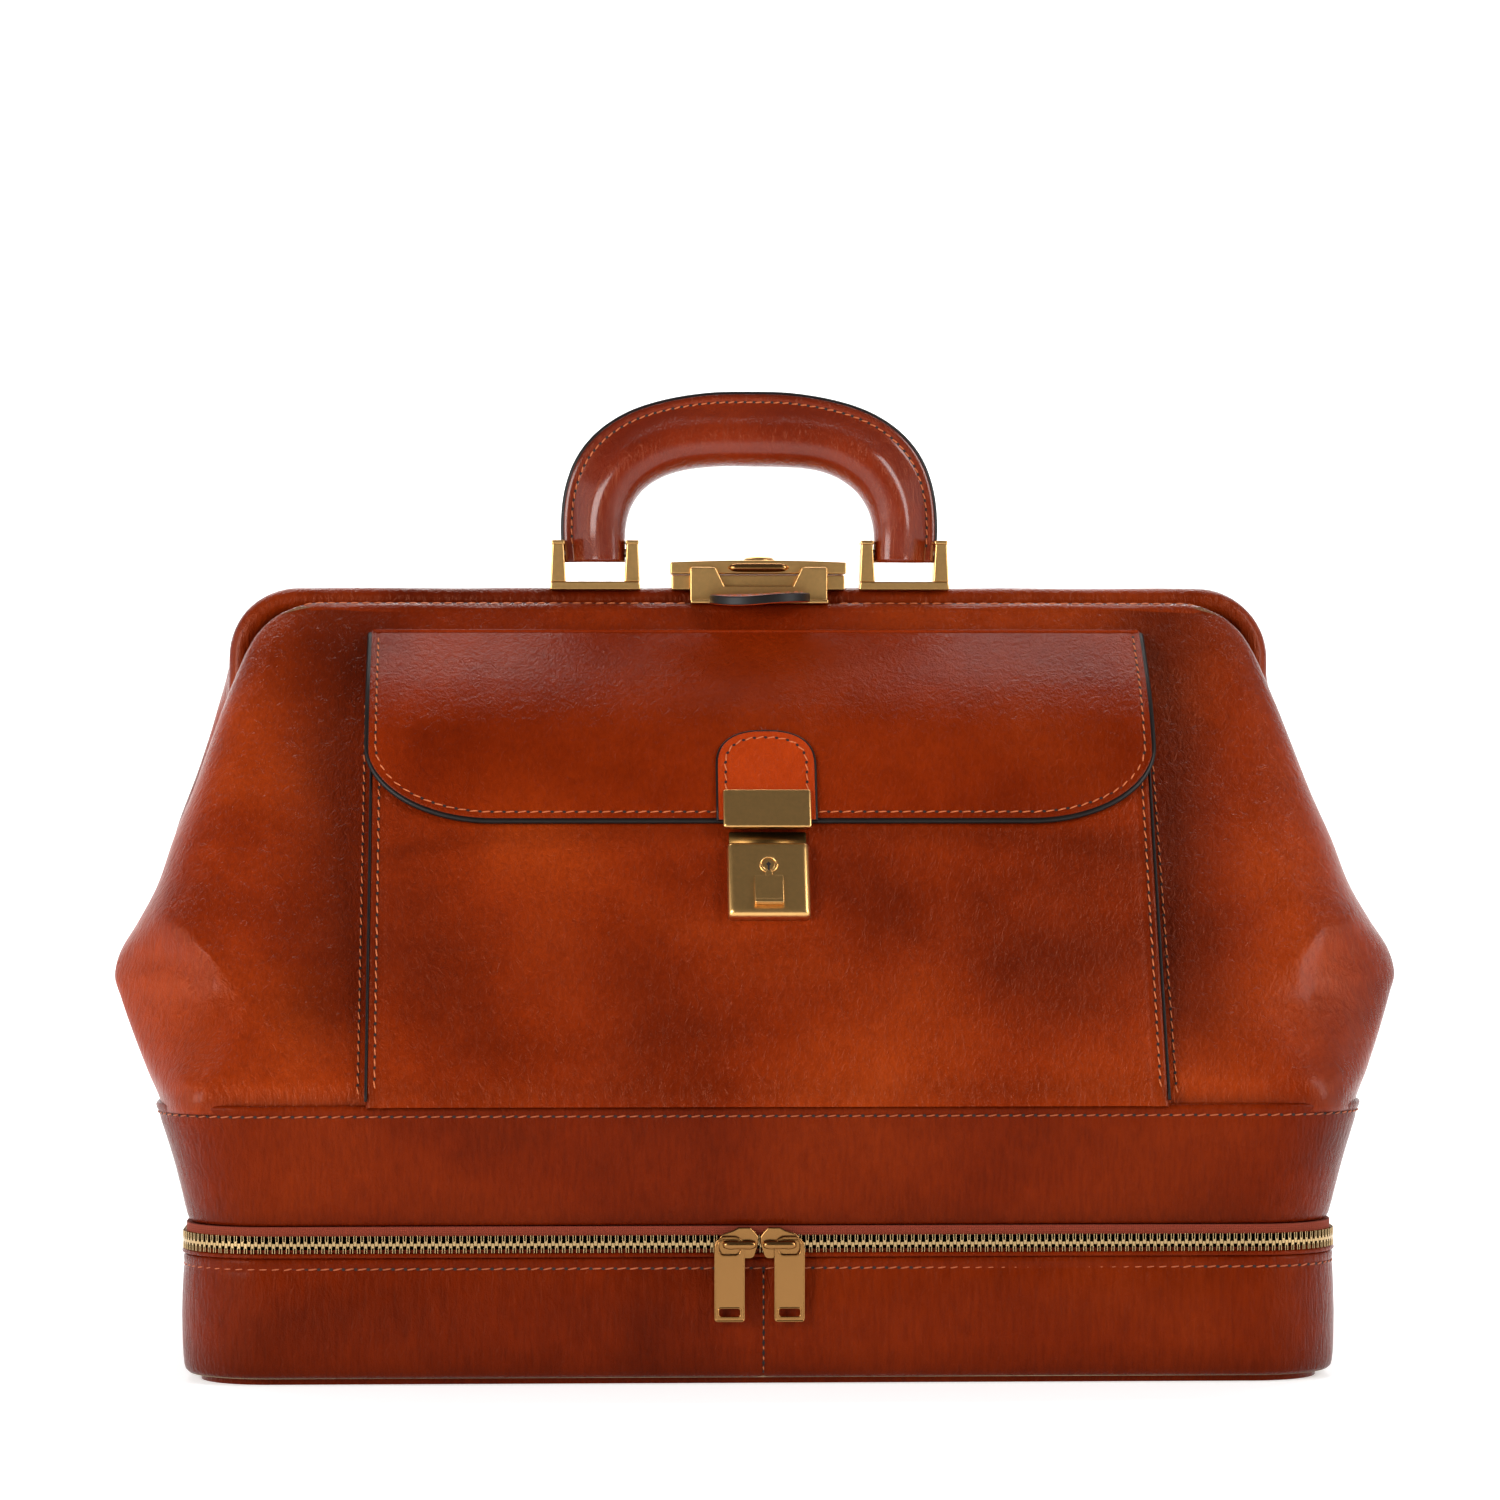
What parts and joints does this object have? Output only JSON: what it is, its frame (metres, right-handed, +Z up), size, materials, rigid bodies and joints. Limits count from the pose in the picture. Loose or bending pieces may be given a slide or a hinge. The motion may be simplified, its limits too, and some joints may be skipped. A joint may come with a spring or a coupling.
{
  "type": "doctor bag",
  "caption": "Leather doctor bag with a hinged mouth frame, top lock, rigid handle, flapped front pocket with lock and a zipped lower compartment.",
  "frame": {"origin": "centre of the flat underside, on the surface the bag stands on", "axes": "+Z up, the front with the pocket faces -Y, +X along the bag's length to the right as seen from the front"},
  "size_m": [0.448, 0.2506, 0.3454],
  "materials": {
    "leather": "glossy burnished vegetable-tanned leather, cognac brown with darker mottling",
    "tongue_leather": "brighter orange-tan glossy leather",
    "tab_leather": "dark brown leather with black painted edge",
    "sole_leather": "smooth brown leather",
    "board": "stiff pressed fibre board",
    "lining": "tan cotton drill",
    "zip_tape": "orange-brown woven tape",
    "zip_brass": "satin brass",
    "brass": "antique satin brass with bright edges",
    "steel": "plain steel"
  },
  "bodies": {
    "base": {"base_bottom_leather": "sole_leather", "base_board": "board", "bottom_piping": "sole_leather", "base_wall_left": "leather", "base_wall_right": "leather", "base_wall_stiffener": "board", "base_lining": "lining", "base_top_welt": "leather", "zip_tape_lower": "zip_tape", "zip_teeth_lower": "zip_brass", "rear_hinge_strip": "leather"},
    "upper": {"waist_band": "leather", "waist_stiffener": "board", "waist_lining": "lining", "floor_board": "board", "floor_lining": "lining", "zip_tape_upper": "zip_tape", "zip_teeth_upper": "zip_brass", "gusset_left": "leather", "gusset_right": "leather"},
    "front_side": {"front_panel": "leather", "front_board": "board", "front_lining": "lining", "pocket_front": "leather", "pocket_gusset_left": "leather", "pocket_gusset_right": "leather", "pocket_lock_body": "brass", "pocket_lock_backplate": "brass"},
    "rear_side": {"rear_panel": "leather", "rear_board": "board", "rear_lining": "lining"},
    "front_jaw": {"front_jaw_frame": "steel", "front_jaw_cover": "leather", "strike_plate": "brass", "pull_tab": "tab_leather"},
    "rear_jaw": {"rear_jaw_frame": "steel", "rear_jaw_cover": "leather", "frame_hinge_pins": "steel", "lock_case": "brass", "handle_bracket_left": "brass", "handle_bracket_right": "brass", "bracket_screws": "steel"},
    "top_button": {"lock_button": "brass"},
    "handle": {"handle_cover": "leather", "handle_core": "steel", "handle_pins": "steel"},
    "pocket_flap": {"flap": "leather", "flap_tongue": "tongue_leather", "flap_hasp": "brass", "flap_rivets": "brass"},
    "thumb": {"thumb_slide": "brass"},
    "key": {"lock_cylinder": "brass"},
    "left_slider": {"slider_left": "zip_brass"},
    "right_slider": {"slider_right": "zip_brass"},
    "left_pull": {"pull_left": "zip_brass"},
    "right_pull": {"pull_right": "zip_brass"}
  },
  "joints": [
    {"name": "compartment_tilt", "type": "hinge", "parent": "base", "child": "upper", "pos_m": [0, 0.1205, 0.05], "axis": [-1, 0, 0], "range_deg": [0, 80], "deforming": ["rear_hinge_strip"]},
    {"name": "frame_open", "type": "hinge", "parent": "front_side", "child": "front_jaw", "pos_m": [0, -0.009, 0.2645], "axis": [1, 0, 0], "range_deg": [0, 30], "deforming": ["gusset_left", "gusset_right"]},
    {"name": "front_side_swing", "type": "hinge", "parent": "upper", "child": "front_side", "pos_m": [0, -0.124, 0.097], "axis": [1, 0, 0], "range_deg": [0, 14], "deforming": ["gusset_left", "gusset_right"]},
    {"name": "rear_side_swing", "type": "hinge", "parent": "upper", "child": "rear_side", "pos_m": [0, 0.124, 0.097], "axis": [-1, 0, 0], "range_deg": [0, 15], "deforming": ["gusset_left", "gusset_right"]},
    {"name": "rear_jaw_turn", "type": "hinge", "parent": "rear_side", "child": "rear_jaw", "pos_m": [0, 0.007, 0.2705], "axis": [-1, 0, 0], "range_deg": [0, 30], "deforming": ["gusset_left", "gusset_right"]},
    {"name": "top_button_press", "type": "slide", "parent": "rear_jaw", "child": "top_button", "axis": [0, 0, -1], "range_m": [0, 0.002], "stiffness_N_per_m": 500, "springref_m": -0.002},
    {"name": "handle_swing", "type": "hinge", "parent": "rear_jaw", "child": "handle", "pos_m": [0, 0.007, 0.2875], "axis": [1, 0, 0], "range_deg": [-80, 80]},
    {"name": "flap_lift", "type": "hinge", "parent": "front_side", "child": "pocket_flap", "pos_m": [0, -0.0213, 0.25626], "axis": [-1, 0, 0], "range_deg": [0, 42]},
    {"name": "thumb_travel", "type": "slide", "parent": "front_side", "child": "thumb", "axis": [0, -0.4863, -0.8738], "range_m": [0, 0.003], "stiffness_N_per_m": 400, "springref_m": -0.002},
    {"name": "key_turn", "type": "hinge", "parent": "front_side", "child": "key", "pos_m": [0.003, -0.08944, 0.17648], "axis": [0, -0.8738, 0.4863], "range_deg": [0, 90]},
    {"name": "left_slider_run", "type": "slide", "parent": "base", "child": "left_slider", "axis": [-1, 0, 0], "range_m": [0, 0.15]},
    {"name": "right_slider_run", "type": "slide", "parent": "base", "child": "right_slider", "axis": [1, 0, 0], "range_m": [0, 0.15]},
    {"name": "left_pull_swing", "type": "hinge", "parent": "left_slider", "child": "left_pull", "pos_m": [-0.0117, -0.1238, 0.048], "axis": [0, 1, 0], "range_deg": [-2, 85]},
    {"name": "right_pull_swing", "type": "hinge", "parent": "right_slider", "child": "right_pull", "pos_m": [0.0087, -0.1238, 0.048], "axis": [0, -1, 0], "range_deg": [-2, 85]}
  ],
  "couplings": [
    {"joint": "front_side_swing", "follows": "frame_open", "ratio": 0.465},
    {"joint": "rear_side_swing", "follows": "frame_open", "ratio": 0.49},
    {"joint": "rear_jaw_turn", "follows": "frame_open", "ratio": 0.92}
  ]
}
